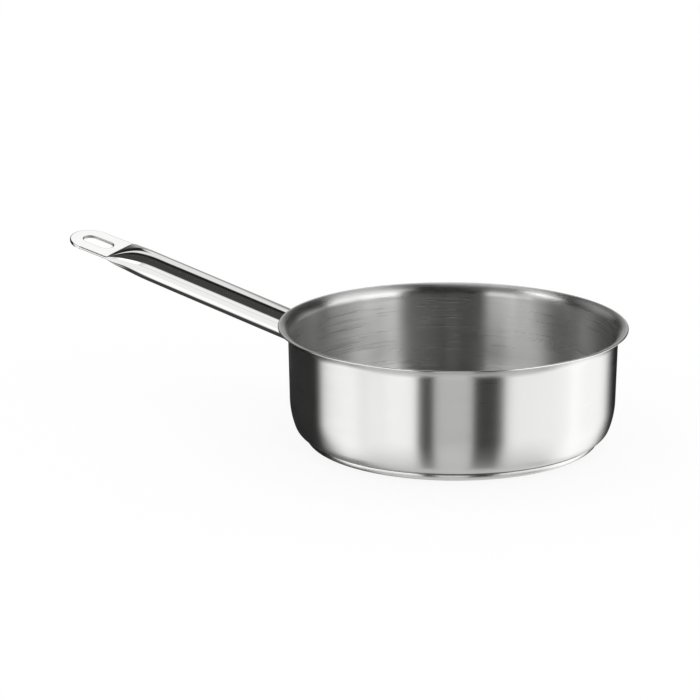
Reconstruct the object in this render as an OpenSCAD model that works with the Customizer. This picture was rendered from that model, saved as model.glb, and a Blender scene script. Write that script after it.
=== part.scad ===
// Low saucepan: one drawn steel vessel with a flared pouring rim, a bonded
// sandwich base and a polished tube handle pressed flat into a hanging tab.
// Millimetres. The origin is the centre of the face the pan stands on, Z is up
// and the handle leaves the wall along -X.

/* [Vessel] */
// outside diameter of the straight wall where the flare begins
wall_d = 202.4; // [120:0.2:320]
// height of the pouring lip's highest point above the floor
pan_h = 72.8; // [40:0.2:200]
// thickness of the drawn sheet, wall and floor
sheet = 1.0; // [0.6:0.1:2]
// outward lean of the wall in degrees
draft = 1.25; // [0:0.05:6]
// height where the lower corner's large arc meets the wall
corner_top = 27.2; // [12:0.1:50]
// radius of the lower corner's large arc
corner_big_r = 50.2; // [20:0.1:90]
// radius of the small arc that turns into the floor
corner_small_r = 8.8; // [4:0.1:20]

/* [Pouring rim] */
// radius of the flare on its underside
flare_r = 6.4; // [3:0.1:12]
// angle the flare turns through in degrees
flare_sweep = 84; // [40:1:100]

/* [Sandwich base] */
// height of the vessel's underside above the floor
base_h = 5.2; // [3:0.1:10]
// outside diameter of the base
base_d = 181.8; // [100:0.2:300]
// radius of the rounded lower edge of the base
base_edge_r = 4.6; // [1:0.1:8]
// thickness of the magnetic cap under the core
cap_sheet = 0.6; // [0.4:0.1:1.5]
// open seam between the cap's edge and the vessel
seam_gap = 0.6; // [0.2:0.1:1.5]

/* [Handle tube] */
// outside diameter of the tube
tube_d = 19.4; // [12:0.1:30]
// wall of the tube
tube_sheet = 1.0; // [0.7:0.1:2]
// height of the tube's axis where it meets the wall
root_z = 52.8; // [25:0.1:150]
// rise of the handle in degrees
rise = 13.5; // [0:0.5:40]
// turn of the handle about its own axis in degrees, as welded
roll = 6; // [-10:0.5:10]
// distance along the axis from the wall to the crease of the tab
crease_at = 151.6; // [80:0.2:260]
// length over which the round tube is pressed flat
press_len = 40; // [20:1:80]
// how fast the height is pressed down toward the crease
press_power = 4.5; // [2:0.1:8]
// how fast the width spreads toward the crease
spread_power = 3; // [1:0.1:8]
// extra squareness of the section at the crease
crease_square = 4; // [0:0.5:10]

/* [Hanging tab] */
// width of the tab, half the tube's girth
tab_w = 30.4; // [18:0.2:48]
// length of the tab from crease to tip
tab_len = 36; // [20:0.5:70]
// thickness of the two walls pressed together
tab_t = 1.9; // [1.2:0.1:4]
// distance of the tab's middle plane above the tube's axis
tab_lift = 0.8; // [-3:0.1:3]
// dip of the tab below the tube's direction in degrees
tab_dip = 1.5; // [-5:0.5:10]
// length of the hanging slot
slot_len = 22; // [8:0.5:45]
// width of the hanging slot
slot_w = 11; // [5:0.5:20]
// distance from the tip to the slot's nearer end
slot_margin = 8.4; // [4:0.2:20]

/* [Handle mounting] */
// thickness of the pressed mounting plate
plate_t = 1.5; // [1:0.1:3]
// width of the mounting plate round the wall
plate_w = 46; // [30:1:80]
// height of the mounting plate
plate_h = 25; // [18:1:40]
// diameter of the spot weld dimples
spot_d = 4.4; // [2:0.1:6]
// depth of the spot weld dimples
spot_depth = 0.4; // [0.1:0.1:0.8]
// spacing of the dimples round the wall
spot_pitch_y = 34; // [20:1:60]
// spacing of the dimples in height
spot_pitch_z = 8; // [6:1:20]
// radius of the weld bead round the tube
bead_r = 1.6; // [0.8:0.1:3]

/* [Hidden] */
$fn = 96;
// finer rounds for the vessel, so that pieces cut to its wall come out true
wall_facets = 288;

// corner construction: wall foot, both arc centres and where the arcs meet
wall_r = wall_d / 2;
flare_top = flare_r + sheet;
flare_end = 180 - draft - flare_sweep;
rim_z = pan_h - flare_top * sin(flare_end) + flare_r * sin(draft);
foot_r = wall_r - (rim_z - corner_top) * tan(draft);
big_c = [foot_r - corner_big_r * cos(draft), corner_top + corner_big_r * sin(draft)];
arc_split = asin((big_c[1] - base_h - corner_small_r) / (corner_big_r - corner_small_r));
small_c = big_c + (corner_big_r - corner_small_r) * [cos(arc_split), -sin(arc_split)];
flare_c = [wall_r + flare_r * cos(draft), rim_z - flare_r * sin(draft)];
reach = 2 * corner_big_r;

// handle construction
hole_r = tube_d / 2 - tube_sheet;
press_at = crease_at - press_len;
slot_at = tab_len - slot_margin - slot_len / 2;
saddle_face = wall_r + plate_t;
over = sheet;
// small steps that keep joined bodies from sharing one surface
step = 0.05;
lap = 0.3;
ring_n = 40;
ring_steps = 12;
bore_steps = 10;
// the pressed walls meet this far from the crease
closed_share = 0.05;

function polar(r, a) = [r * cos(a), r * sin(a)];

// a slice of a round profile between two angles
module sector(r, a0, a1) {
  intersection() {
    circle(r);
    polygon([[0, 0], polar(reach, a0), polar(reach, (a0 + a1) / 2), polar(reach, a1)]);
  }
}

// half section of the vessel's solid shape, moved inward by inset; the points
// given by crown close it from the top of the wall back to the axis
module vessel_half(inset, crown) {
  polygon(concat([[0, base_h + inset],
    [small_c[0], base_h + inset],
    small_c + polar(corner_small_r - inset, -arc_split),
    big_c + polar(corner_big_r - inset, -draft),
    flare_c - polar(flare_r + inset, -draft)], crown));
  translate(small_c) circle(corner_small_r - inset);
  translate(big_c) sector(corner_big_r - inset, -arc_split, -draft);
}

// crown points for a shape that stops level at the top of the wall
function level_crown(inset) = [[0, (flare_c - polar(flare_r + inset, -draft))[1]]];

// crown points round the flare, out to the radius given and back to the axis
function flare_crown(r, top) = [flare_c, flare_c + polar(r, flare_end), [0, top]];

// section of the drawn sheet: what lies inside the outer skin, less the hollow
module vessel_section() {
  difference() {
    vessel_half(0, flare_crown(flare_top, flare_c[1] + flare_top));
    translate(flare_c) circle(flare_r);
    difference() {
      vessel_half(sheet, flare_crown(flare_top + over, pan_h + over));
      translate(flare_c) circle(flare_top);
    }
  }
  translate(flare_c + polar(flare_r + sheet / 2, flare_end)) circle(sheet / 2);
}

// drawn vessel: floor, two-arc corner, leaning wall and flared rim in one sheet
module pan_body() {
  color("silver")
  rotate_extrude($fn = wall_facets) vessel_section();
}

// half section of the base, moved inward by inset and cut off at height top
module base_half(inset, top) {
  side = base_d / 2 - base_edge_r;
  union() {
    polygon([[0, inset], [side, inset], [side, base_edge_r],
      [base_d / 2 - inset, base_edge_r], [base_d / 2 - inset, top], [0, top]]);
    translate([side, base_edge_r]) sector(base_edge_r - inset, -90, 0);
  }
}

// aluminium heat-spreading disc bonded under the vessel
module base_core() {
  color("gainsboro")
  rotate_extrude() base_half(cap_sheet, base_h);
}

// magnetic steel cap wrapped round the core's lower edge
module base_cap() {
  color("lightgray")
  rotate_extrude() difference() {
    base_half(0, base_h - seam_gap);
    base_half(cap_sheet, base_h);
  }
}

// moves a piece drawn along +X from the wall into the handle's direction
module at_handle() {
  rotate([0, 0, 180])
  translate([wall_r, 0, root_z])
  rotate([0, -rise, 0])
  rotate([-roll, 0, 0])
  children();
}

// half width and half height of the pressed section, u runs 0 at the crease to 1
function half_w(u) = tube_d / 2 + (tab_w - tube_d) / 2 * pow(1 - u, spread_power);
function half_h(u) = tube_d / 2 - (tube_d - tab_t) / 2 * pow(1 - u, press_power);
function square_of(u) = 2 + crease_square * pow(1 - u, 2 * press_power);
function mid_z(u) = tab_lift * pow(1 - u, spread_power);
function root_of(v, n) = sign(v) * pow(abs(v), 2 / n);

// one closed ring of the pressed section, moved inward by inset
function ring(x, u, inset) = [for (i = [0 : ring_n - 1])
  let (a = 360 * (i + 0.5) / ring_n)
  [x,
  (half_w(u) - inset) * root_of(cos(a), square_of(u)),
  mid_z(u) + (half_h(u) - inset) * root_of(sin(a), square_of(u))]];

// skin over a list of rings with both ends closed
module skin(rings) {
  last = len(rings) - 1;
  tail = len(rings) * ring_n;
  polyhedron(
    points = concat([for (r = rings) each r],
      [for (r = [rings[0], rings[last]]) (r[0] + r[ring_n / 2]) / 2]),
    faces = concat(
      [for (i = [0 : ring_n - 1]) [(i + 1) % ring_n, i, tail]],
      [for (i = [0 : ring_n - 1])
        [last * ring_n + i, last * ring_n + (i + 1) % ring_n, tail + 1]],
      [for (k = [0 : last - 1], i = [0 : ring_n - 1])
        let (a = k * ring_n + i, b = k * ring_n + (i + 1) % ring_n)
        [b, a + ring_n, a]],
      [for (k = [0 : last - 1], i = [0 : ring_n - 1])
        let (a = k * ring_n + i, b = k * ring_n + (i + 1) % ring_n)
        [b + ring_n, a + ring_n, b]]));
}

function share_at(k, steps) = pow(k / steps, 2);

// pressed length of the tube, from inside the tab to inside the round part
module pressed_skin() {
  skin(concat([ring(crease_at + over, 0, step)],
    [for (k = [0 : ring_steps]) let (u = share_at(k, ring_steps))
      ring(crease_at - press_len * u, u, step)],
    [ring(press_at - over, 1, step)]));
}

// hollow inside the pressed length, narrowing until the walls meet
module pressed_bore() {
  skin(concat(
    [for (k = [0 : bore_steps])
      let (u = closed_share + (1 - closed_share) * share_at(k, bore_steps))
      ring(crease_at - press_len * u, u, tube_sheet + step)],
    [ring(press_at - over, 1, tube_sheet + step)]));
}

// plan outline of the tab with its full-round tip
module tab_outline() {
  translate([-over, -tab_w / 2 - over]) square([tab_len - tab_w / 2 + over, tab_w + 2 * over]);
  translate([tab_len - tab_w / 2, 0]) circle(tab_w / 2);
}

// plan outline of the hanging slot
module slot_outline() {
  flat = slot_len - slot_w;
  translate([slot_at, 0]) {
    square([flat, slot_w], center = true);
    for (s = [-1, 1]) translate([s * flat / 2, 0]) circle(slot_w / 2);
  }
}

// flat tab with folded round sides, a punched tip and the hanging slot
module tab() {
  side = (tab_w - tab_t) / 2;
  translate([crease_at, 0, tab_lift]) rotate([0, tab_dip, 0])
  difference() {
    intersection() {
      union() {
        translate([-lap, -side, -tab_t / 2]) cube([tab_len + lap, 2 * side, tab_t]);
        for (s = [-1, 1]) translate([-lap, s * side, 0])
          rotate([0, 90, 0]) cylinder(h = tab_len + lap, d = tab_t);
      }
      translate([0, 0, -tab_t]) linear_extrude(2 * tab_t) tab_outline();
    }
    translate([0, 0, -tab_t]) linear_extrude(2 * tab_t) slot_outline();
  }
}

// room taken by the vessel and its mounting plate, used to trim the tube
module saddle_room() {
  rotate_extrude($fn = wall_facets) vessel_half(-plate_t, level_crown(-plate_t));
}

// round bar on the handle's axis, long enough to cross the wall
module axis_bar(r, out) {
  translate([-tube_d, 0, 0]) rotate([0, 90, 0]) cylinder(h = tube_d + out, r = r);
}

// polished tube, trimmed to the plate and pressed flat into the hanging tab
module handle_tube() {
  color("white")
  difference() {
    at_handle() union() {
      axis_bar(tube_d / 2, press_at + lap);
      pressed_skin();
      tab();
    }
    at_handle() union() {
      axis_bar(hole_r, press_at + lap);
      pressed_bore();
    }
    saddle_room();
  }
}

// pressed mounting plate bent to the wall, with spot weld dimples
module handle_saddle() {
  color("silver")
  difference() {
    intersection() {
      saddle_room();
      rotate([0, 0, 180]) translate([wall_r - plate_h, 0, root_z]) rotate([0, 90, 0])
        linear_extrude(plate_h + saddle_face - wall_r + over) {
          square([plate_h, plate_w - plate_h], center = true);
          for (s = [-1, 1]) translate([0, s * (plate_w - plate_h) / 2]) circle(plate_h / 2);
        }
    }
    rotate_extrude($fn = wall_facets) vessel_half(0, level_crown(0));
    for (s = [-1, 1], t = [-1, 1])
      rotate([0, 0, 180 + s * asin(spot_pitch_y / 2 / saddle_face)])
      translate([saddle_face - (rim_z - root_z) * tan(draft) - spot_depth, 0,
        root_z + t * spot_pitch_z / 2])
      rotate([0, 90, 0]) cylinder(h = plate_t, d = spot_d);
  }
}

// weld bead laid round the tube on the mounting plate
module tube_weld() {
  color("gray")
  difference() {
    rotate([0, 0, 180])
      translate([saddle_face - (rim_z - root_z) * tan(draft), 0, root_z + plate_t * tan(rise)])
      rotate([0, 90, 0]) rotate_extrude() translate([tube_d / 2, 0]) circle(bead_r);
    at_handle() axis_bar(tube_d / 2, press_at);
    saddle_room();
  }
}

pan_body();
base_core();
base_cap();
handle_tube();
handle_saddle();
tube_weld();
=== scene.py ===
from math import asin, atan2, cos, degrees, hypot, inf, pi, radians, sin, sqrt, tan

import bmesh
import bpy
from mathutils import Matrix, Vector


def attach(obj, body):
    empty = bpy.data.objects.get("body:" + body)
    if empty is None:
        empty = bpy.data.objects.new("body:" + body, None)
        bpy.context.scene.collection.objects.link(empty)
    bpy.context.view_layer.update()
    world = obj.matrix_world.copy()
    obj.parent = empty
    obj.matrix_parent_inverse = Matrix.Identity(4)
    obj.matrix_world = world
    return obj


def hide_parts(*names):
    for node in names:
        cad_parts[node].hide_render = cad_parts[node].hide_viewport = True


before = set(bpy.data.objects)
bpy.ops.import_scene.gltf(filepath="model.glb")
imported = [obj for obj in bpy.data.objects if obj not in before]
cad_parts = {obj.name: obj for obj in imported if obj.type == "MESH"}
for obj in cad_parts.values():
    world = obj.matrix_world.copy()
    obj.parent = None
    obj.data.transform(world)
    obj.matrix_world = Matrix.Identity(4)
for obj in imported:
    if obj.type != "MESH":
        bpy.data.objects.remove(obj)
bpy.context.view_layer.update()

# Camera: a long lens about fifteen degrees above the table, to the right of
# the handle, as in the photograph.

# sizes are in millimetres, and times this in Blender's metres
MM = 0.001
CAMERA_AT = Vector((849.8, -1565.1, 542.0)) * MM
LOOK_ALONG = Vector((-0.49012, 0.83098, -0.26318))
LENS_MM = 154.29
SENSOR_MM = 36
FAR_CLIP = 50

lens = bpy.data.cameras.new("studio_camera")
lens.lens = LENS_MM
lens.sensor_width = SENSOR_MM
lens.clip_end = FAR_CLIP
camera = bpy.data.objects.new("studio_camera", lens)
camera.location = CAMERA_AT
camera.rotation_euler = LOOK_ALONG.to_track_quat("-Z", "Y").to_euler()
bpy.context.collection.objects.link(camera)
bpy.context.scene.camera = camera
bpy.context.scene.view_settings.view_transform = "Standard"


# Vessel: one sheet of stainless steel, drawn and spun to a straight wall with
# a two-arc lower corner, its mouth rolled out into a pouring rim. The satin
# finish is brushed round the axis and the mouth's edge is polished.
WALL_D = 202.4
PAN_H = 72.8
SHEET = 1.0
DRAFT = radians(1.25)
CORNER_TOP = 27.2
CORNER_BIG_R = 50.2
CORNER_SMALL_R = 8.8
FLARE_R = 6.4
# a tenth of a degree short of the solid's, which keeps the facets inside it
FLARE_SWEEP = radians(83.9)
BASE_H = 5.2

WALL_R = WALL_D / 2
FLARE_END = pi - DRAFT - FLARE_SWEEP
RIM_Z = PAN_H - (FLARE_R + SHEET) * sin(FLARE_END) + FLARE_R * sin(DRAFT)
FOOT_R = WALL_R - (RIM_Z - CORNER_TOP) * tan(DRAFT)

# facets round the axis and along each arc of the section
TURN_STEPS = 288
SMALL_STEPS = 12
BIG_STEPS = 16
FLARE_STEPS = 24
LIP_STEPS = 10
# vertices nearer to each other than this, in metres, are made one
MERGE_DIST = 1e-7


def in_section(radius, height):
    """A point of a half section, given in millimetres."""
    return Vector((radius, 0, height)) * MM


def swing(radius, angle):
    """A step of that length in a half section, at an angle above level."""
    return in_section(radius * cos(angle), radius * sin(angle))


def start_section(bm, place):
    """The first point of a half section, which the other calls carry on."""
    return bmesh.ops.create_vert(bm, co=place)["vert"][0]


def line_to(bm, tip, place):
    """Carries a half section on in a straight line."""
    tip = bmesh.ops.extrude_vert_indiv(bm, verts=[tip])["verts"][0]
    tip.co = place
    return tip


def arc_round(bm, tip, centre, sweep, steps):
    """Carries a half section on round an arc, counter-clockwise if positive."""
    made = bmesh.ops.spin(bm, geom=[tip], cent=centre, axis=(0, -1, 0), angle=sweep,
                          steps=steps)
    return next(v for v in made["geom_last"] if isinstance(v, bmesh.types.BMVert))


def turn_section(bm):
    """Turns a finished half section once round the vertical axis."""
    bmesh.ops.remove_doubles(bm, verts=bm.verts, dist=MERGE_DIST)
    bmesh.ops.spin(bm, geom=bm.verts[:] + bm.edges[:], cent=(0, 0, 0), axis=(0, 0, 1),
                   angle=2 * pi, steps=TURN_STEPS, use_merge=True)
    bmesh.ops.remove_doubles(bm, verts=bm.verts, dist=MERGE_DIST)
    bmesh.ops.recalc_face_normals(bm, faces=bm.faces)


def finish_piece(bm, name, material, slot, *nodes):
    """Makes the object, rides it on the one body and hides the parts of model.glb that it
    stands for.
    """
    mesh = bpy.data.meshes.new(name)
    bm.to_mesh(mesh)
    bm.free()
    mesh.shade_smooth()
    mesh.materials.append(material)
    piece = bpy.data.objects.new(name, mesh)
    bpy.context.collection.objects.link(piece)
    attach(piece, "root")
    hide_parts(*nodes)
    return piece


BIG_C = in_section(FOOT_R, CORNER_TOP) - swing(CORNER_BIG_R, -DRAFT)
ARC_SPLIT = asin((BIG_C.z / MM - BASE_H - CORNER_SMALL_R) / (CORNER_BIG_R - CORNER_SMALL_R))
SMALL_C = BIG_C + swing(CORNER_BIG_R - CORNER_SMALL_R, -ARC_SPLIT)
FLARE_C = in_section(WALL_R, RIM_Z) + swing(FLARE_R, -DRAFT)
LIP_C = FLARE_C + swing(FLARE_R + SHEET / 2, FLARE_END)


def vessel_mesh():
    """The sheet's section, out along its underside and back along its inside."""
    bm = bmesh.new()
    tip = start_section(bm, in_section(0, BASE_H))
    tip = line_to(bm, tip, SMALL_C + swing(CORNER_SMALL_R, -pi / 2))
    tip = arc_round(bm, tip, SMALL_C, pi / 2 - ARC_SPLIT, SMALL_STEPS)
    tip = arc_round(bm, tip, BIG_C, ARC_SPLIT - DRAFT, BIG_STEPS)
    tip = line_to(bm, tip, FLARE_C - swing(FLARE_R, -DRAFT))
    tip = arc_round(bm, tip, FLARE_C, -FLARE_SWEEP, FLARE_STEPS)
    tip = arc_round(bm, tip, LIP_C, pi, LIP_STEPS)
    tip = arc_round(bm, tip, FLARE_C, FLARE_SWEEP, FLARE_STEPS)
    tip = line_to(bm, tip, BIG_C + swing(CORNER_BIG_R - SHEET, -DRAFT))
    tip = arc_round(bm, tip, BIG_C, DRAFT - ARC_SPLIT, BIG_STEPS)
    tip = arc_round(bm, tip, SMALL_C, ARC_SPLIT - pi / 2, SMALL_STEPS)
    line_to(bm, tip, in_section(0, BASE_H + SHEET))
    turn_section(bm)
    return bm


def add_node(tree, kind, **values):
    """A shader node. A value named in_ and a socket's name or number is set or
    linked there, and any other sets the node's own property."""
    node = tree.nodes.new(kind)
    for name, value in values.items():
        if name.startswith("in_"):
            key = name[3:]
            socket = node.inputs[int(key) if key.isdigit() else key.replace("_", " ")]
            if isinstance(value, bpy.types.NodeSocket):
                tree.links.new(value, socket)
            else:
                socket.default_value = value
        else:
            setattr(node, name, value)
    return node


def work(tree, operation, *values):
    """The output of a Math node over up to three values or sockets."""
    named = {f"in_{i}": v for i, v in enumerate(values)}
    return add_node(tree, "ShaderNodeMath", operation=operation, **named).outputs[0]


def work_vector(tree, operation, first, **values):
    """The output of a Vector Math node."""
    return add_node(tree, "ShaderNodeVectorMath", operation=operation, in_0=first,
                    **values).outputs[0]


# the middle range of a noise, which holds nearly all that it gives
NOISE_LOW = 0.3
NOISE_HIGH = 0.7


def spread(tree, noise, low, high):
    """Maps the middle range of a noise onto low to high."""
    return add_node(tree, "ShaderNodeMapRange", clamp=True, in_0=noise, in_1=NOISE_LOW,
                    in_2=NOISE_HIGH, in_3=low, in_4=high).outputs[0]


def blend(tree, factor, first, second):
    """A mix of two colours; 6, 7 and 2 are the Mix node's colour sockets."""
    return add_node(tree, "ShaderNodeMix", data_type="RGBA", clamp_factor=True, in_0=factor,
                    in_6=(*first, 1), in_7=(*second, 1)).outputs[2]


def new_group(name, sockets_in, sockets_out):
    """A shader node group: number inputs with their values, outputs with their kinds."""
    tree = bpy.data.node_groups.new(name, "ShaderNodeTree")
    for label, value in sockets_in.items():
        socket = tree.interface.new_socket(label, in_out="INPUT", socket_type="NodeSocketFloat")
        socket.default_value = value
    for label, kind in sockets_out.items():
        tree.interface.new_socket(label, in_out="OUTPUT", socket_type=f"NodeSocket{kind}")
    return tree, tree.nodes.new("NodeGroupInput"), tree.nodes.new("NodeGroupOutput")


# brushed lines: how many to the metre, and how often each changes on its way round
FINE_LINES = (1500, 3.0)
BROAD_LINES = (420, 2.0)
DRIFT_LINES = (60, 1.3)
# least radius that the lines are divided by, in metres
AXIS_CLEAR = 0.001


def brushing_group():
    """Lines brushed round the vertical axis. Contrast is the share by which they
    change roughness and tone, and Lean how far they tip the normal, in radians."""
    tree, given, out = new_group(
        "brushing", {"Roughness": 0.3, "Lean": 0.0, "Contrast": 0.07},
        {"Roughness": "Float", "Tone": "Float", "Normal": "Vector"})
    place = add_node(tree, "ShaderNodeTexCoord").outputs["Object"]
    x, y, z = add_node(tree, "ShaderNodeSeparateXYZ", in_0=place).outputs
    squares = work(tree, "ADD", work(tree, "MULTIPLY", x, x), work(tree, "MULTIPLY", y, y))
    radius = work(tree, "MAXIMUM", work(tree, "SQRT", squares), AXIS_CLEAR)
    over_x, over_y = work(tree, "DIVIDE", x, radius), work(tree, "DIVIDE", y, radius)
    up_and_out = work(tree, "ADD", radius, z)

    def lines(per_metre, changes):
        spot = add_node(tree, "ShaderNodeCombineXYZ",
                        in_0=work(tree, "MULTIPLY", over_x, changes),
                        in_1=work(tree, "MULTIPLY", over_y, changes),
                        in_2=work(tree, "MULTIPLY", up_and_out, per_metre))
        noise = add_node(tree, "ShaderNodeTexNoise", in_Vector=spot.outputs[0], in_Scale=1.0,
                         in_Detail=1.0, in_Roughness=0.5)
        return spread(tree, noise.outputs["Fac"], -1, 1)

    fine, broad, drift = lines(*FINE_LINES), lines(*BROAD_LINES), lines(*DRIFT_LINES)
    worn = work(tree, "MULTIPLY_ADD", drift, 0.5, work(tree, "ADD", fine, broad))
    worn = work(tree, "MULTIPLY", worn, given.outputs["Contrast"])
    tree.links.new(work(tree, "MULTIPLY_ADD", worn, given.outputs["Roughness"],
                        given.outputs["Roughness"]), out.inputs["Roughness"])
    tree.links.new(work(tree, "ADD", 0.5, worn), out.inputs["Tone"])

    groove = work(tree, "MULTIPLY_ADD", broad, 0.5, fine)
    groove = work(tree, "MULTIPLY", groove, given.outputs["Lean"])
    along = add_node(tree, "ShaderNodeTangent", direction_type="RADIAL", axis="Z").outputs[0]
    flat = add_node(tree, "ShaderNodeNewGeometry").outputs["Normal"]
    tipped = work_vector(tree, "SCALE", work_vector(tree, "CROSS_PRODUCT", along, in_1=flat),
                         in_Scale=groove)
    turned = work_vector(tree, "NORMALIZE", work_vector(tree, "ADD", flat, in_1=tipped))
    tree.links.new(turned, out.inputs["Normal"])
    return tree


brushing = brushing_group()
# turns the stretch of the highlights from along the brushed lines to across them
QUARTER_TURN = 0.25


def start_metal(name, colour, roughness, grain):
    """A plain metal material: its tree and its Principled shader."""
    material = bpy.data.materials.new(name)
    material.use_nodes = True
    tree = material.node_tree
    shader = tree.nodes["Principled BSDF"]
    shader.inputs["Metallic"].default_value = 1.0
    shader.inputs["Base Color"].default_value = (*colour, 1)
    shader.inputs["Roughness"].default_value = roughness
    shader.inputs["Anisotropic"].default_value = grain
    return material, tree, shader


def brush_round(name, colour, roughness, grain, lean=0.0, contrast=0.07):
    """Metal brushed round the vertical axis."""
    material, tree, shader = start_metal(name, colour, roughness, grain)
    along = add_node(tree, "ShaderNodeTangent", direction_type="RADIAL", axis="Z").outputs[0]
    tree.links.new(along, shader.inputs["Tangent"])
    shader.inputs["Anisotropic Rotation"].default_value = QUARTER_TURN
    marks = add_node(tree, "ShaderNodeGroup", node_tree=brushing, in_Roughness=roughness,
                     in_Lean=lean, in_Contrast=contrast).outputs
    tree.links.new(marks["Roughness"], shader.inputs["Roughness"])
    tree.links.new(marks["Normal"], shader.inputs["Normal"])
    dull = [c * (1 - contrast) for c in colour]
    bright = [min(1, c * (1 + contrast)) for c in colour]
    tree.links.new(blend(tree, marks["Tone"], dull, bright), shader.inputs["Base Color"])
    return material


# the mouth's bead is polished, and so is the upper face this near its middle
POLISHED_LIP = 1.0
FACET_SLACK = 1.005
OUTSIDE, INSIDE, LIP = range(3)


def vessel_finish(face):
    """Which of the vessel's three finishes a face has."""
    centre = face.center
    off = (Vector((hypot(centre.x, centre.y), 0, centre.z)) - LIP_C).length / MM
    upward = face.normal.z > 0
    if off < SHEET / 2 * FACET_SLACK or upward and off < POLISHED_LIP:
        return LIP
    return INSIDE if upward else OUTSIDE


satin_steel = brush_round("satin_steel", (0.70, 0.70, 0.69), roughness=0.29, grain=1.0,
                          lean=0.004, contrast=0.03)
inner_steel = brush_round("inner_satin_steel", (0.71, 0.71, 0.70), roughness=0.30, grain=1.0,
                          lean=0.02, contrast=0.08)
edge_steel = brush_round("edge_steel", (0.72, 0.72, 0.71), roughness=0.12, grain=0.0)
vessel = finish_piece(vessel_mesh(), "vessel", satin_steel, "satin_steel", "pan_body")
vessel.data.materials.append(inner_steel)
vessel.data.materials.append(edge_steel)
for face in vessel.data.polygons:
    face.material_index = vessel_finish(face)


# Spreader disc: aluminium, bonded under the vessel's floor to spread the heat.
# The cap closes it in, so that only its edge shows, in the seam.
BASE_D = 181.8
BASE_EDGE_R = 4.6
CAP_SHEET = 0.6
BASE_R = BASE_D / 2
SIDE_R = BASE_R - BASE_EDGE_R
EDGE_C = in_section(SIDE_R, BASE_EDGE_R)
DISC_STEPS = 12


def disc_mesh():
    """The disc's section, out along its underside and up to the vessel."""
    bm = bmesh.new()
    tip = start_section(bm, in_section(0, CAP_SHEET))
    tip = line_to(bm, tip, in_section(SIDE_R, CAP_SHEET))
    tip = arc_round(bm, tip, EDGE_C, pi / 2, DISC_STEPS)
    tip = line_to(bm, tip, in_section(BASE_R - CAP_SHEET, BASE_H))
    line_to(bm, tip, in_section(0, BASE_H))
    turn_section(bm)
    return bm


core_aluminium = brush_round("core_aluminium", (0.35, 0.35, 0.35), roughness=0.45, grain=0.3)
finish_piece(disc_mesh(), "spreader_disc", core_aluminium, "core_aluminium", "base_core")


# Pressed cap: brushed magnetic steel, wrapped round the disc's lower edge and
# bonded to it. It stops short of the vessel, which leaves a thin dark seam.
SEAM_GAP = 0.6
CAP_STEPS = 14
CAP_LIP_STEPS = 8


def cap_mesh():
    """The cap's section, out along its underside and back inside a rounded lip."""
    bm = bmesh.new()
    lip_r = CAP_SHEET / 2
    lip_z = BASE_H - SEAM_GAP - lip_r
    tip = start_section(bm, in_section(0, 0))
    tip = line_to(bm, tip, in_section(SIDE_R, 0))
    tip = arc_round(bm, tip, EDGE_C, pi / 2, CAP_STEPS)
    tip.co.z = min(tip.co.z, lip_z * MM)
    tip = arc_round(bm, tip, in_section(BASE_R - lip_r, lip_z), pi, CAP_LIP_STEPS)
    tip = line_to(bm, tip, in_section(BASE_R - CAP_SHEET, lip_z - lip_r))
    tip = line_to(bm, tip, in_section(SIDE_R, CAP_SHEET))
    line_to(bm, tip, in_section(0, CAP_SHEET))
    turn_section(bm)
    return bm


cap_steel = brush_round("cap_steel", (0.68, 0.68, 0.67), roughness=0.26, grain=0.9,
                        lean=0.012)
finish_piece(cap_mesh(), "pressed_cap", cap_steel, "cap_steel", "base_cap")


# Handle: one length of mirror-polished steel tube, welded at its root to the
# mounting plate. Its far end is pressed until the two walls lie together, which
# makes the hanging tab.
TUBE_D = 19.4
ROOT_IN = 0.6
ROOT_Z = 52.8
RISE = radians(13.5)
ROLL = radians(6)
CREASE_AT = 151.6
PRESS_LEN = 40
PRESS_POWER = 4.5
SPREAD_POWER = 3
CREASE_SQUARE = 4
CREASE_FILLET = 0.9
TAB_W = 30.4
TAB_LEN = 36
TAB_T = 1.9
TAB_LIFT = 0.8
TAB_DIP = radians(1.5)
SLOT_LEN = 22
SLOT_W = 11
SLOT_MARGIN = 8.4
# rounding of the punched edges, and the line between the tab's two walls
PUNCH_R = 0.3
LINE_HALF_W = 0.12
LINE_DEPTH = 0.18

TUBE_R = TUBE_D / 2
PRESS_AT = CREASE_AT - PRESS_LEN
TIP_AT = TAB_LEN - TAB_W / 2
SLOT_AT = TAB_LEN - SLOT_MARGIN - SLOT_LEN / 2

# facets round tube and tab, the rings that keep the round length straight, and
# how many the pressed length has and how closely they crowd toward the crease
RING_N = 96
TAB_RING_N = 192
STRAIGHT_RINGS = (6, PRESS_AT - 12, PRESS_AT - 4)
PRESS_STEPS = 30
CROWDING = 1.7
# tube and tab run this far into each other, and the tube's skin lies this deep
OVERLAP = 1.0
TUCK = 0.03
# width of the flat that borders a rounded edge, and of the turn from fold to cut
BORDER = 0.25
FOLD_FADE = 3
# a quarter round's middle lies this share of its radius in from either side
ROUND_MIDDLE = 0.3
SHARP_TUBE = radians(35)

TO_HANDLE = (Matrix.Rotation(pi, 4, "Z")
             @ Matrix.Translation((WALL_R * MM, 0, ROOT_Z * MM))
             @ Matrix.Rotation(-RISE, 4, "Y")
             @ Matrix.Rotation(-ROLL, 4, "X"))
TO_TAB = (Matrix.Translation((CREASE_AT * MM, 0, TAB_LIFT * MM))
          @ Matrix.Rotation(TAB_DIP, 4, "Y"))
FROM_TAB = (TO_HANDLE @ TO_TAB).inverted()


def first_ring(bm, count, shape):
    """A closed ring of edges whose vertices lie where shape(angle) says, in mm."""
    turn = bm.verts.layers.float.get("turn") or bm.verts.layers.float.new("turn")
    verts = bmesh.ops.create_circle(bm, segments=count, radius=1)["verts"]
    for v in verts:
        v[turn] = atan2(v.co.y, v.co.x)
        v.co = Vector(shape(v[turn])) * MM
    return list({e for v in verts for e in v.link_edges})


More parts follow.
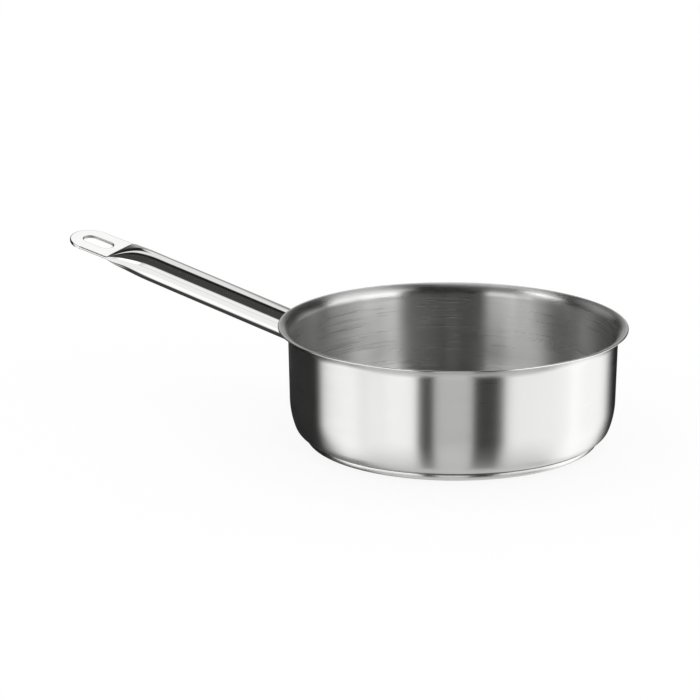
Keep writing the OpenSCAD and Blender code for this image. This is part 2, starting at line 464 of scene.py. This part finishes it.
def next_ring(bm, ring, shape):
    """Draws a ring on into the next section and returns that section's edges."""
    turn = bm.verts.layers.float["turn"]
    made = bmesh.ops.extrude_edge_only(bm, edges=ring)["geom"]
    verts = {g for g in made if isinstance(g, bmesh.types.BMVert)}
    for v in verts:
        v.co = Vector(shape(v[turn])) * MM
    return [e for e in {e for v in verts for e in v.link_edges} if set(e.verts) <= verts]


def sharpen(bm, angle):
    """Shades edges that bend by more than an angle as sharp."""
    for edge in bm.edges:
        if edge.calc_face_angle(0) > angle:
            edge.smooth = False


def root_of(value, power):
    """Turns a sine or cosine into that of a rounded rectangle; 2 keeps it round."""
    return (abs(value) ** (2 / power)) * (1 if value >= 0 else -1)


def root_ring(angle):
    """The tube's end, cut to lie in the mounting plate."""
    y, z = TUBE_R * cos(angle), TUBE_R * sin(angle)
    return ROOT_IN / cos(RISE) + (z * cos(ROLL) - y * sin(ROLL)) * tan(RISE), y, z


def pressed_ring(x, u, inset):
    """Section of the tube where it is pressed: u is 0 at the crease, 1 where round."""
    half_w = TUBE_R + (TAB_W - TUBE_D) / 2 * (1 - u) ** SPREAD_POWER - inset
    half_h = TUBE_R - (TUBE_D - TAB_T) / 2 * (1 - u) ** PRESS_POWER - inset
    square = 2 + CREASE_SQUARE * (1 - u) ** (2 * PRESS_POWER)
    middle = TAB_LIFT * (1 - u) ** SPREAD_POWER
    return lambda a: (x, half_w * root_of(cos(a), square),
                      middle + half_h * root_of(sin(a), square))


def tube_mesh(bm):
    """The round length and the pressed length, skinned over sections."""
    sections = [(x, 1, 0) for x in STRAIGHT_RINGS]
    for k in range(PRESS_STEPS, -1, -1):
        gone = PRESS_LEN * (k / PRESS_STEPS) ** CROWDING
        soft = (sqrt(gone * gone + CREASE_FILLET ** 2) - CREASE_FILLET) / PRESS_LEN
        sections.append((CREASE_AT - gone, soft, TUCK))
    sections.append((CREASE_AT + OVERLAP, 0, 2 * TUCK))
    root = ring = first_ring(bm, RING_N, root_ring)
    for section in sections:
        ring = next_ring(bm, ring, pressed_ring(*section))
    bmesh.ops.holes_fill(bm, edges=root + ring)


def tab_outline(angle, inset):
    """Plan of the tab seen from its slot's middle: square at the crease, round at the tip."""
    c, s = cos(angle), sin(angle)
    half = TAB_W / 2 - inset
    tip = TIP_AT - SLOT_AT
    reach = min(half / abs(s) if s else inf, (SLOT_AT + OVERLAP) / -c if c < 0 else inf)
    if reach * c > tip:
        reach = tip * c + sqrt(half * half - (tip * s) ** 2)
    return SLOT_AT + reach * c, reach * s


def slot_outline(angle, inset):
    """Plan of the hanging slot, a stadium seen from its middle."""
    c, s = cos(angle), sin(angle)
    half = SLOT_W / 2 + inset
    flat = (SLOT_LEN - SLOT_W) / 2
    reach = half / abs(s) if s else inf
    if abs(reach * c) > flat:
        reach = flat * abs(c) + sqrt(half * half - (flat * s) ** 2)
    return SLOT_AT + reach * c, reach * s


def tab_mesh(bm):
    """The two walls lying together, folded along the sides, cut round the tip and slot."""
    half_t = TAB_T / 2
    middle = ROUND_MIDDLE * PUNCH_R
    # heights and cuts from the upper face, over its rounded edge, to the line
    upper = [(half_t, PUNCH_R + BORDER), (half_t, PUNCH_R), (half_t - middle, middle),
             (half_t - PUNCH_R, 0), (LINE_HALF_W, 0)]
    levels = [(-z, cut) for z, cut in upper] + [(0, LINE_DEPTH)] + upper[::-1]

    def outer(a, z, cut):
        fold = half_t - sqrt(max(half_t * half_t - z * z, 0)) + max(cut - PUNCH_R, 0)
        x = tab_outline(a, 0)[0]
        tip = min(max((x - TIP_AT) / FOLD_FADE + 0.5, 0), 1)
        return (*tab_outline(a, fold + (cut - fold) * tip), z)

    shapes = [lambda a, z=z, cut=cut: outer(a, z, cut) for z, cut in levels]
    shapes += [lambda a, z=z, cut=cut: (*slot_outline(a, cut), z)
               for z, cut in reversed(levels)]
    ring = first_ring(bm, TAB_RING_N, shapes[0])
    # the rings that border the two flat faces shade as sharp
    flat_edges = []
    for k, shape in enumerate(shapes[1:] + shapes[:1], 1):
        ring = next_ring(bm, ring, shape)
        if k % len(levels) in (0, len(levels) - 1):
            flat_edges += ring
    for edge in flat_edges:
        edge.smooth = False
    bmesh.ops.remove_doubles(bm, verts=bm.verts, dist=MERGE_DIST)


def handle_mesh():
    """The tab, then the tube, put where the handle leaves the wall."""
    bm = bmesh.new()
    tab_mesh(bm)
    bmesh.ops.transform(bm, verts=bm.verts, matrix=TO_TAB)
    tube_mesh(bm)
    bmesh.ops.transform(bm, verts=bm.verts, matrix=TO_HANDLE)
    bmesh.ops.recalc_face_normals(bm, faces=bm.faces)
    sharpen(bm, SHARP_TUBE)
    return bm


# polishing marks to the metre, along and across the handle, and their depth
HAIRLINES = (12, 900, 900)
SMEARS = 55.0
HAIR_DEPTH = 0.01
HAIR_STRENGTH = 0.2


def polish_marks_group():
    """Faint hairlines along the handle and smears over them, as roughness and height."""
    tree, given, out = new_group("polish_marks", {"Roughness": 0.06},
                                 {"Roughness": "Float", "Height": "Float"})
    place = add_node(tree, "ShaderNodeTexCoord").outputs["Object"]
    along = add_node(tree, "ShaderNodeMapping", in_Vector=place, in_Rotation=(0, RISE, 0),
                     in_Scale=HAIRLINES).outputs[0]
    hair, smear = (
        add_node(tree, "ShaderNodeTexNoise", in_Vector=spot, in_Scale=scale,
                 in_Detail=2.0).outputs["Fac"]
        for spot, scale in ((along, 1.0), (place, SMEARS)))
    share = work(tree, "ADD", spread(tree, hair, 0.7, 1.3), spread(tree, smear, 0.0, 0.4))
    tree.links.new(work(tree, "MULTIPLY", share, given.outputs["Roughness"]),
                   out.inputs["Roughness"])
    tree.links.new(hair, out.inputs["Height"])
    return tree


polish_marks = polish_marks_group()


def polish_along(name, colour, roughness):
    """Steel polished lengthwise, with faint hairlines along the handle."""
    material, tree, shader = start_metal(name, colour, roughness, grain=0.0)
    marks = add_node(tree, "ShaderNodeGroup", node_tree=polish_marks,
                     in_Roughness=roughness).outputs
    tree.links.new(marks["Roughness"], shader.inputs["Roughness"])
    bump = add_node(tree, "ShaderNodeBump", in_Height=marks["Height"],
                    in_Distance=HAIR_DEPTH * MM, in_Strength=HAIR_STRENGTH)
    tree.links.new(bump.outputs[0], shader.inputs["Normal"])
    return material


def in_slot(face):
    """True on the wall of the hanging slot, up to half its rounded edge."""
    place = FROM_TAB @ face.center / MM
    x, y = slot_outline(atan2(place.y, place.x - SLOT_AT), PUNCH_R / 2)
    return hypot(place.x - SLOT_AT, place.y) < hypot(x - SLOT_AT, y) and place.x > 0


polished_steel = polish_along("polished_steel", (0.62, 0.62, 0.61), roughness=0.06)
punched_steel = polish_along("punched_steel", (0.45, 0.45, 0.44), roughness=0.38)
handle = finish_piece(handle_mesh(), "handle", polished_steel, "polished_steel", "handle_tube")
handle.data.materials.append(punched_steel)
for face in handle.data.polygons:
    face.material_index = int(in_slot(face))


# Mounting plate: a pressed satin steel plate bent to the wall and held by four
# spot welds, which leave round dimples beside the tube.
PLATE_W = 46
PLATE_H = 25
PLATE_T = 1.5
PLATE_EDGE = 0.4
SPOT_D = 4.4
SPOT_DEPTH = 0.4
SPOT_POWER = 4
SPOT_PITCH_Y = 34
SPOT_PITCH_Z = 8
SPOTS = [(y, z) for y in (-SPOT_PITCH_Y / 2, SPOT_PITCH_Y / 2)
         for z in (-SPOT_PITCH_Z / 2, SPOT_PITCH_Z / 2)]

# the faces are rings half a millimetre apart, down to a narrow middle
PLATE_RING_N = 200
RING_INSETS = [k * 0.5 for k in range(24, 0, -1)]
MIDDLE_HALF = 0.05
# the plate's underside clears the wall by this, so that they share no surface
SEAT_GAP = 0.02
SHARP_PLATE = radians(50)


def plate_outline(angle, inset):
    """Stadium outline of the plate, pulled in by inset."""
    half = max(PLATE_H / 2 - inset, MIDDLE_HALF)
    flat = (PLATE_W - PLATE_H) / 2
    side = 1 if cos(angle) >= 0 else -1
    return side * flat + half * cos(angle), half * sin(angle)


def on_wall(y, z, lift):
    """A point that far across, up and off the leaning wall behind the handle."""
    radius = WALL_R - (RIM_Z - (ROOT_Z + z)) * tan(DRAFT) + lift / cos(DRAFT)
    return -sqrt(radius * radius - y * y), y, ROOT_Z + z


def dimple(y, z):
    """Depth of the spot welds' dimples at a point of the plate."""
    off = min(hypot(y - at_y, z - at_z) for at_y, at_z in SPOTS) / (SPOT_D / 2)
    return SPOT_DEPTH * (1 - min(off, 1) ** SPOT_POWER)


def plate_mesh():
    """Rings from the middle of the underside, over the rounded edge, to the middle above."""
    bm = bmesh.new()
    levels = [(SEAT_GAP, inset) for inset in RING_INSETS]
    levels += [(SEAT_GAP, 0), (PLATE_T - PLATE_EDGE, 0)]
    levels += [(PLATE_T - PLATE_EDGE * (1 - sin(a)), PLATE_EDGE * (1 - cos(a)))
               for a in (radians(30), radians(60), radians(90))]
    levels += [(PLATE_T, PLATE_EDGE + inset) for inset in reversed(RING_INSETS)]

    def place(a, lift, inset):
        y, z = plate_outline(a, inset)
        return on_wall(y, z, lift - (dimple(y, z) if lift == PLATE_T else 0))

    ring = first_ring(bm, PLATE_RING_N, lambda a: place(a, *levels[0]))
    ends = list(ring)
    for level in levels[1:]:
        ring = next_ring(bm, ring, lambda a: place(a, *level))
    bmesh.ops.holes_fill(bm, edges=ends + ring)
    bmesh.ops.recalc_face_normals(bm, faces=bm.faces)
    sharpen(bm, SHARP_PLATE)
    return bm


plate_steel = brush_round("plate_steel", (0.74, 0.74, 0.73), roughness=0.34, grain=0.4,
                          lean=0.012)
finish_piece(plate_mesh(), "mounting_plate", plate_steel, "plate_steel", "handle_saddle")


# Weld: a bead of rippled steel laid round the tube on the plate, duller than
# the sheet and straw-tinted in patches by the heat.
BEAD_R = 1.6
BEAD_SIDES = 16
RIPPLES = 46
RIPPLE_STEPS = 6
RIPPLE_SHARE = 0.035
WELD_C = Vector((-(WALL_R + PLATE_T - (RIM_Z - ROOT_Z) * tan(DRAFT)), 0,
                 ROOT_Z + PLATE_T * tan(RISE))) * MM

# patches to the metre, and the colours and roughness that they go between
PATCHES = 260.0
WELD_GREY = (0.66, 0.65, 0.63)
WELD_STRAW = (0.60, 0.55, 0.47)
WELD_SMOOTH = 0.26
WELD_DULL = 0.42


def weld_mesh():
    """A round bar turned about the tube, its radius rising and falling in ripples."""
    bm = bmesh.new()
    verts = bmesh.ops.create_circle(bm, segments=BEAD_SIDES, radius=BEAD_R * MM)["verts"]
    start = WELD_C + Vector((0, 0, TUBE_R * MM))
    bmesh.ops.transform(bm, verts=verts, matrix=(
        Matrix.Translation(start) @ Matrix.Rotation(pi / 2, 4, "X")))
    bmesh.ops.spin(bm, geom=bm.verts[:] + bm.edges[:], cent=(0, 0, WELD_C.z), axis=(1, 0, 0),
                   angle=2 * pi, steps=RIPPLES * RIPPLE_STEPS, use_merge=True)
    for v in bm.verts:
        spoke = Vector((0, v.co.y, v.co.z - WELD_C.z))
        core = WELD_C + spoke.normalized() * TUBE_R * MM
        ripple = RIPPLE_SHARE * (sin(RIPPLES * atan2(spoke.y, spoke.z)) - 1)
        v.co = core + (v.co - core) * (1 + ripple)
    bmesh.ops.recalc_face_normals(bm, faces=bm.faces)
    return bm


def bead_metal():
    """Weld metal with patches of heat tint."""
    material, tree, shader = start_metal("weld_steel", WELD_GREY, WELD_DULL, grain=0.0)
    place = add_node(tree, "ShaderNodeTexCoord").outputs["Object"]
    patch = add_node(tree, "ShaderNodeTexNoise", in_Vector=place, in_Scale=PATCHES,
                     in_Detail=2.0).outputs["Fac"]
    tint = blend(tree, spread(tree, patch, 0, 1), WELD_GREY, WELD_STRAW)
    tree.links.new(tint, shader.inputs["Base Color"])
    tree.links.new(spread(tree, patch, WELD_SMOOTH, WELD_DULL), shader.inputs["Roughness"])
    return material


finish_piece(weld_mesh(), "weld_bead", bead_metal(), "weld_steel", "tube_weld")


# Table: a round white floor. Most of the white that is seen is its own glow,
# which brings it near the white of the surroundings. The steel doesn't mirror it.
FLOOR_R = 8
FLOOR_SIDES = 96
# share of the table's white that is its own glow
TABLE_GLOW = 0.85

bm = bmesh.new()
bmesh.ops.create_circle(bm, cap_ends=True, segments=FLOOR_SIDES, radius=FLOOR_R)
floor_mesh = bpy.data.meshes.new("floor")
bm.to_mesh(floor_mesh)
bm.free()
floor = bpy.data.objects.new("floor", floor_mesh)
bpy.context.collection.objects.link(floor)
floor.visible_glossy = False

paper = bpy.data.materials.new("white_table")
paper.use_nodes = True
tree = paper.node_tree
matt = tree.nodes["Principled BSDF"]
matt.inputs["Base Color"].default_value = (1, 1, 1, 1)
matt.inputs["Roughness"].default_value = 0.9
matt.inputs["Specular IOR Level"].default_value = 0.0
rays = add_node(tree, "ShaderNodeLightPath").outputs
seen = work(tree, "MAXIMUM", rays["Is Camera Ray"], work(
    tree, "MAXIMUM", rays["Is Glossy Ray"], rays["Is Transmission Ray"]))
white = add_node(tree, "ShaderNodeEmission", in_Color=(1, 1, 1, 1), in_Strength=1.0)
mixed = add_node(tree, "ShaderNodeMixShader", in_0=work(tree, "MULTIPLY", seen, TABLE_GLOW),
                 in_1=matt.outputs[0], in_2=white.outputs[0])
tree.links.new(mixed.outputs[0], tree.nodes["Material Output"].inputs["Surface"])
floor_mesh.materials.append(paper)


# Light: white surroundings. In their place the steel mirrors softboxes with
# dark gaps between them, which give polished steel its bands.
DARK_LEVEL = 0.02
# middle, half width and softness round the pan, lower and upper edge and
# softness up, all in degrees, and level; round is from the camera toward image
# right, up is above the horizon
SOFTBOXES = {
    "right": (84.5, 48, 3, -47, 6, 5, 1.15),
    "right, middle": (100, 38, 10, -47, 4, 5, 1.3),
    "right, far end": (111, 26, 7, -47, 4, 5, 1.55),
    "right, upper": (54, 14.5, 3, 2, 20, 4, 2.0),
    "right, overhead": (72, 32, 5, 13, 36, 6, 2.3),
    "right, top": (72, 32, 5, 34, 65, 5, 1.0),
    "right, rear": (137, 30, 5, 43, 63, 6, 0.65),
    "right, under": (146, 34, 5, -62, -30, 5, 0.9),
    "left": (-64, 39.5, 2.5, -47, 5, 4, 1.38),
    "left, far end": (-85.5, 18.5, 3, -47, 0, 4, 1.6),
    "left, front": (-36, 12, 3, 3, 26, 4, 2.3),
    "left, upper": (-54, 6.5, 3, 3, 28, 5, 1.4),
    "left, overhead": (-86, 14, 3, 36, 62, 3, 2.7),
    "left, ceiling": (-52, 38, 5, 28, 85, 5, 0.075),
    "left, under": (-128, 34, 5, -62, -34, 4, 0.07),
    "back": (179, 5, 2, 26, 70, 8, 1.2),
    "back, tab": (180, 3, 2, 33, 39, 2, 1.48),
    "back, overhead": (-160, 20, 3, 52, 71, 3, 1.25),
    "back, left": (-138, 18, 4, 16, 44, 4, 0.4),
    "back, low": (180, 10, 4, -60, 22, 5, 0.5),
    "front card": (1, 14, 2.5, -50, -4, 8, 1.0),
    "table": (0, 200, 1, -100, -57, 4, 0.8),
}

world = bpy.data.worlds.new("light_tent")
bpy.context.scene.world = world
world.use_nodes = True
tree = world.node_tree
sky = tree.nodes["Background"]
aim = add_node(tree, "ShaderNodeTexCoord").outputs["Generated"]
facing = add_node(tree, "ShaderNodeVectorRotate", rotation_type="Z_AXIS", in_Vector=aim,
                  in_Angle=-atan2(CAMERA_AT.y, CAMERA_AT.x))
ahead, aside, upward = add_node(tree, "ShaderNodeSeparateXYZ", in_0=facing.outputs[0]).outputs
round_deg = work(tree, "MULTIPLY", work(tree, "ARCTAN2", aside, ahead), degrees(1))
up_deg = work(tree, "MULTIPLY", work(tree, "ARCSINE", upward), degrees(1))


def within(value, half, soft):
    """1 where the value is under half, falling softly to 0 past it."""
    return add_node(tree, "ShaderNodeMapRange", interpolation_type="SMOOTHSTEP", in_0=value,
                    in_1=half - soft, in_2=half + soft, in_3=1, in_4=0).outputs[0]


light = DARK_LEVEL
for middle, half, soft, low, high, fade, level in SOFTBOXES.values():
    off_round = work(tree, "ABSOLUTE", work(
        tree, "WRAP", work(tree, "SUBTRACT", round_deg, middle), 180, -180))
    off_up = work(tree, "ABSOLUTE", work(tree, "SUBTRACT", up_deg, (low + high) / 2))
    box = work(tree, "MULTIPLY", within(off_round, half, soft),
               within(off_up, (high - low) / 2, fade))
    light = work(tree, "MAXIMUM", light, work(tree, "MULTIPLY", box, level))

# mirrored rays see the softboxes, and all others plain white
rays = add_node(tree, "ShaderNodeLightPath").outputs
mirrored = work(tree, "MAXIMUM", rays["Is Glossy Ray"], rays["Is Transmission Ray"])
strength = work(tree, "MULTIPLY_ADD", mirrored, light, work(tree, "SUBTRACT", 1, mirrored))
tree.links.new(strength, sky.inputs["Strength"])
sky.inputs["Color"].default_value = (1, 1, 1, 1)
